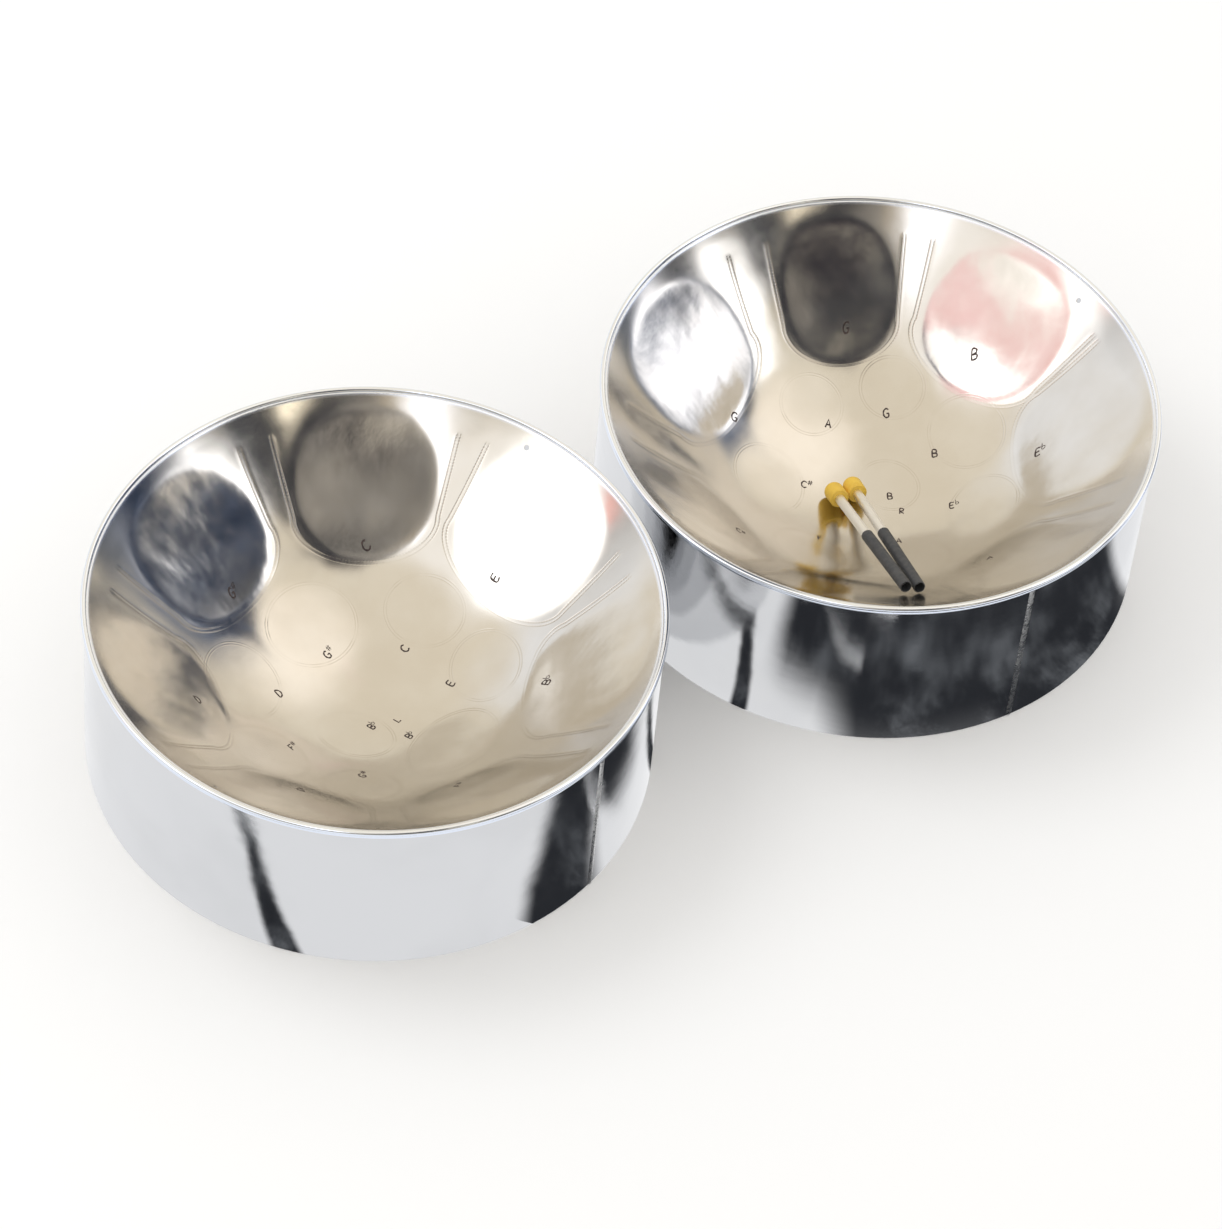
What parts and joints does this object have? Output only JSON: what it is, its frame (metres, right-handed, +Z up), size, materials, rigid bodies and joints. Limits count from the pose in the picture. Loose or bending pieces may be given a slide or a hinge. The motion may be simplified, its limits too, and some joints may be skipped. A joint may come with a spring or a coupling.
{
  "type": "steel pan",
  "caption": "Double-second steel pan: paired chromed drums with sunk, domed-note playing bowls, rolled rims, open skirts and rubber-tipped beaters.",
  "frame": {"origin": "on the floor, midway between the two drums", "axes": "+Z up, +X from the left drum to the right drum, the player stands on the -Y side"},
  "size_m": [1.1718, 0.5778, 0.204],
  "materials": {
    "bowl_chrome": "brushed satin chrome, warm tint",
    "rim_chrome": "polished",
    "skirt_chrome": "polished",
    "weld": "rough plated weld",
    "tip_rubber": "matt yellow",
    "shaft_aluminium": "satin tube",
    "grip_rubber": "matt dark grey sleeve"
  },
  "bodies": {
    "left_drum": {"left_head": "bowl_chrome", "left_rim": "rim_chrome", "left_skirt": "skirt_chrome", "left_seam": "weld"},
    "right_drum": {"right_head": "bowl_chrome", "right_rim": "rim_chrome", "right_skirt": "skirt_chrome", "right_seam": "weld"},
    "left_beater": {"left_beater_tip": "tip_rubber", "left_beater_shaft": "shaft_aluminium", "left_beater_grip": "grip_rubber"},
    "right_beater": {"right_beater_tip": "tip_rubber", "right_beater_shaft": "shaft_aluminium", "right_beater_grip": "grip_rubber"}
  },
  "joints": [
    {"name": "right_drum_lift", "type": "slide", "parent": "left_drum", "child": "right_drum", "axis": [0, 0, 1], "range_m": [0, 0.3]},
    {"name": "left_beater_lift", "type": "slide", "parent": "right_drum", "child": "left_beater", "axis": [0, 0, 1], "range_m": [0, 0.25]},
    {"name": "right_beater_lift", "type": "slide", "parent": "right_drum", "child": "right_beater", "axis": [0, 0, 1], "range_m": [0, 0.25]}
  ]
}
